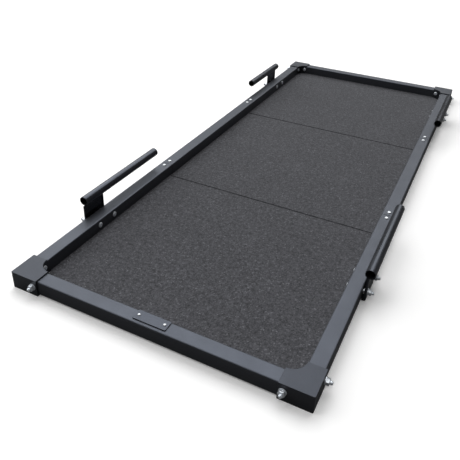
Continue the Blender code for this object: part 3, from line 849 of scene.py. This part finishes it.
class PLATFORM_OT_frame_beams(Operator):
    """Give the square tube beams and the sleeves inside their butts their powder coat"""

    bl_idname = "platform.frame_beams"
    bl_label = "Frame Beams"

    def execute(self, context):
        finish_nodes(BEAMS + SLEEVES, paint("frame_paint_finish", context.scene.platform_finishes))
        return {"FINISHED"}


class PLATFORM_OT_corner_sleeves(Operator):
    """Give the four corner sleeves their powder coat"""

    bl_idname = "platform.corner_sleeves"
    bl_label = "Corner Sleeves"

    def execute(self, context):
        names = [f"corner_{corner}" for corner in CORNERS]
        finish_nodes(names, paint("corner_paint_finish", context.scene.platform_finishes))
        return {"FINISHED"}


class PLATFORM_OT_rubber_tiles(Operator):
    """Give the three rubber tiles their pressed crumbs"""

    bl_idname = "platform.rubber_tiles"
    bl_label = "Rubber Tiles"

    def execute(self, context):
        finish_nodes(TILES, rubber(context.scene.platform_finishes))
        return {"FINISHED"}


class PLATFORM_OT_band_pegs(Operator):
    """Give the pipes and their brackets their powder coat"""

    bl_idname = "platform.band_pegs"
    bl_label = "Band Pegs"

    def execute(self, context):
        names = [f"peg_{kind}_{peg}" for kind in ("pipe", "bracket") for peg in PEGS]
        finish_nodes(names, paint("peg_paint_finish", context.scene.platform_finishes))
        return {"FINISHED"}


class PLATFORM_OT_peg_welds(Operator):
    """Lay the weld beads between each pipe and its bracket"""

    bl_idname = "platform.peg_welds"
    bl_label = "Peg Welds"

    def execute(self, context):
        sizes = context.scene.platform_fasteners
        labels = {"Bead Radius": sizes.weld_radius, "Ripple Pitch": sizes.weld_pitch}
        values = {**labels, "Material": paint("peg_paint_finish", context.scene.platform_finishes)}
        points, edges = weld_lines(sizes.weld_radius)
        item = made_by_nodes("peg_welds", weld_bead_tree(labels), points, values, edges=edges)
        stands_for(item)
        return {"FINISHED"}


class PLATFORM_OT_name_plate(Operator):
    """Paint the bare name plate"""

    bl_idname = "platform.name_plate"
    bl_label = "Name Plate"

    def execute(self, context):
        finish_nodes(["name_plate"], paint("name_plate_finish", context.scene.platform_finishes))
        return {"FINISHED"}


class PLATFORM_OT_through_bolts(Operator):
    """Make the corner bolts and peg bolts with their washers, nuts and threads"""

    bl_idname = "platform.through_bolts"
    bl_label = "Through Bolts"

    def execute(self, context):
        sizes = context.scene.platform_fasteners
        finishes = context.scene.platform_finishes
        material = zinc("zinc_finish", finishes.zinc_colour, finishes.zinc_roughness, finishes.zinc_metallic)
        below_grip = sizes.washer_thickness + sizes.nut_height + sizes.stud_end
        labels = {
            "Bolt Diameter": sizes.bolt_diameter, "Head Diameter": sizes.bolt_head,
            "Head Height": sizes.bolt_head_height, "Socket Across Flats": sizes.socket_flats,
            "Socket Depth": sizes.socket_depth, "Washer Diameter": sizes.washer_diameter,
            "Washer Thickness": sizes.washer_thickness, "Nut Across Flats": sizes.nut_flats,
            "Nut Height": sizes.nut_height, "Stud End": sizes.stud_end, "Thread Pitch": sizes.thread_pitch}
        tree = None
        for name, nodes in (("corner_bolts", CORNER_BOLTS), ("peg_bolts", PEG_BOLTS)):
            points, ways, length = bolt_points(nodes)
            labels["Grip"] = length - PACKED_HEAD_HEIGHT - below_grip
            tree = tree or through_bolt_tree(labels)
            values = {**labels, "Steps": sizes.round_steps, "Material": material}
            stands_for(made_by_nodes(name, tree, points, values, ways), nodes)
        return {"FINISHED"}


class PLATFORM_OT_domed_screws(Operator):
    """Make the splice screws and the name plate's screws"""

    bl_idname = "platform.domed_screws"
    bl_label = "Domed Screws"

    def execute(self, context):
        sizes = context.scene.platform_fasteners
        finishes = context.scene.platform_finishes
        material = zinc(
            "satin_zinc_finish", finishes.screw_colour, finishes.screw_roughness, finishes.screw_metallic)
        tree = None
        for name, nodes, size in (
                ("splice_screws", SPLICE_SCREWS, sizes.splice_screw),
                ("name_plate_screws", PLATE_SCREWS, sizes.plate_screw)):
            labels = dict(zip(("Screw Diameter", "Screw Length", "Head Diameter", "Head Height"), size))
            tree = tree or domed_screw_tree(labels)
            values = {**labels, "Steps": sizes.round_steps, "Material": material}
            points = screw_points(nodes, labels["Head Height"])
            ways = [UPWARD] * len(points)
            stands_for(made_by_nodes(name, tree, points, values, ways), nodes)
        return {"FINISHED"}


def pale_view(write, mirrored):
    """One for rays from the camera or through glass, a share for mirrored ones, and zero for the rest."""
    path = write.add("ShaderNodeLightPath").outputs
    seen = write.math("MAXIMUM", path["Is Camera Ray"], write.times(path["Is Glossy Ray"], mirrored))
    return write.math("MAXIMUM", seen, path["Is Transmission Ray"])


class PLATFORM_OT_stage(Operator):
    """Set up the camera, the pale floor, the sky light and the lamps"""

    bl_idname = "platform.stage"
    bl_label = "Stage"

    def execute(self, context):
        scene = context.scene
        sizes = scene.platform_stage
        scene.view_settings.view_transform = "Standard"
        self.make_camera(scene, sizes)
        self.make_floor(scene, sizes)
        self.make_sky(scene, sizes)
        for lamp in (
                ("lamp_behind", sizes.back_light, sizes.back_from, sizes.back_softness, 0.0),
                ("lamp_beside", sizes.side_light, sizes.side_from, sizes.side_softness, sizes.side_distance),
                ("lamp_in_front", sizes.front_light, sizes.front_from, sizes.front_softness, 0.0)):
            self.make_lamp(scene, sizes.lamp_colour, *lamp)
        return {"FINISHED"}

    def make_camera(self, scene, sizes):
        camera = bpy.data.cameras.new("camera")
        camera.sensor_width = SENSOR_WIDTH
        camera.lens = sizes.camera_lens
        camera.shift_y = sizes.camera_shift
        camera.clip_end = VIEW_END
        viewer = bpy.data.objects.new("camera", camera)
        viewer.location = sizes.camera_place
        viewer.rotation_euler = sizes.camera_turn
        scene.collection.objects.link(viewer)
        scene.camera = viewer

    def make_lamp(self, scene, colour, name, level, direction, softness, distance):
        """A soft lamp, its level as a white surface lying flat in the middle shows it. Without a distance
        it is far away."""
        source = Vector(direction).normalized()
        lamp = bpy.data.lights.new(name, "AREA" if distance else "SUN")
        lamp.color = colour
        strength = level * math.pi / source.z
        if distance:
            lamp.shape = "DISK"
            lamp.size = 2 * distance * math.tan(softness / 2)
            lamp.energy = strength * math.pi * distance ** 2 / math.cos(softness / 2) ** 2
        else:
            lamp.angle = softness
            lamp.energy = strength
        item = bpy.data.objects.new(name, lamp)
        item.visible_camera = False
        item.location = source * (distance or FAR_LAMP_PLACE)
        item.rotation_euler = source.to_track_quat("Z", "Y").to_euler()
        scene.collection.objects.link(item)

    def make_floor(self, scene, sizes):
        mesh = bpy.data.meshes.new("floor")
        work = bmesh.new()
        bmesh.ops.create_grid(work, x_segments=1, y_segments=1, size=sizes.floor_size / 2)
        work.to_mesh(mesh)
        work.free()
        floor = bpy.data.objects.new("floor", mesh)
        scene.collection.objects.link(floor)
        material = bpy.data.materials.new("pale_floor")
        material.use_nodes = True
        material.node_tree.nodes.clear()
        write = NodeWriter(material.node_tree)
        grey = (sizes.floor_bounce,) * 3 + (1.0,)
        pale = tuple(sizes.floor_pale * min(sizes.lamp_colour) / part for part in sizes.lamp_colour) + (1.0,)
        bounced = write.out("ShaderNodeBsdfDiffuse", {"Color": grey})
        seen = write.out("ShaderNodeBsdfDiffuse", {"Color": pale})
        glow = write.out("ShaderNodeEmission", {"Color": WHITE, "Strength": sizes.floor_glow})
        lit = write.out("ShaderNodeAddShader", {0: seen, 1: glow})
        share = pale_view(write, sizes.floor_mirrored)
        mixed = write.out("ShaderNodeMixShader", {0: share, 1: bounced, 2: lit})
        write.add("ShaderNodeOutputMaterial", {"Surface": mixed})
        mesh.materials.append(material)

    def make_sky(self, scene, sizes):
        world = bpy.data.worlds.new("sky")
        scene.world = world
        world.use_nodes = True
        world.node_tree.nodes.clear()
        write = NodeWriter(world.node_tree)
        soft = write.out("ShaderNodeBackground", {"Color": WHITE, "Strength": sizes.sky_light})
        white = write.out("ShaderNodeBackground", {"Color": WHITE, "Strength": 1.0})
        share = pale_view(write, sizes.sky_mirrored)
        mixed = write.out("ShaderNodeMixShader", {0: share, 1: soft, 2: white})
        write.add("ShaderNodeOutputWorld", {"Surface": mixed})


class PLATFORM_PT_sidebar(Panel):
    """The platform's sizes, colours and pieces"""

    bl_label = "Deadlift Platform"
    bl_idname = "PLATFORM_PT_sidebar"
    bl_space_type = "VIEW_3D"
    bl_region_type = "UI"
    bl_category = "Platform"

    def draw(self, context):
        layout = self.layout
        for name in GROUPS:
            group = getattr(context.scene, name)
            box = layout.box()
            for setting in group.__annotations__:
                box.prop(group, setting)
        column = layout.column(align=True)
        for operator in OPERATORS:
            column.operator(operator.bl_idname)


GROUPS = {
    "platform_finishes": PlatformFinishes, "platform_fasteners": PlatformFasteners,
    "platform_stage": PlatformStage}
OPERATORS = (
    PLATFORM_OT_frame_beams, PLATFORM_OT_corner_sleeves, PLATFORM_OT_rubber_tiles, PLATFORM_OT_band_pegs,
    PLATFORM_OT_peg_welds, PLATFORM_OT_name_plate, PLATFORM_OT_through_bolts, PLATFORM_OT_domed_screws,
    PLATFORM_OT_stage)


def register():
    for name, group in GROUPS.items():
        bpy.utils.register_class(group)
        setattr(bpy.types.Scene, name, PointerProperty(type=group))
    for kind in OPERATORS + (PLATFORM_PT_sidebar,):
        bpy.utils.register_class(kind)


def unregister():
    for kind in reversed(OPERATORS + (PLATFORM_PT_sidebar,)):
        bpy.utils.unregister_class(kind)
    for name, group in reversed(list(GROUPS.items())):
        delattr(bpy.types.Scene, name)
        bpy.utils.unregister_class(group)


def main():
    register()
    bpy.ops.platform.frame_beams()
    bpy.ops.platform.corner_sleeves()
    bpy.ops.platform.rubber_tiles()
    bpy.ops.platform.band_pegs()
    bpy.ops.platform.peg_welds()
    bpy.ops.platform.name_plate()
    bpy.ops.platform.through_bolts()
    bpy.ops.platform.domed_screws()
    bpy.ops.platform.stage()


if __name__ == "__main__":
    main()
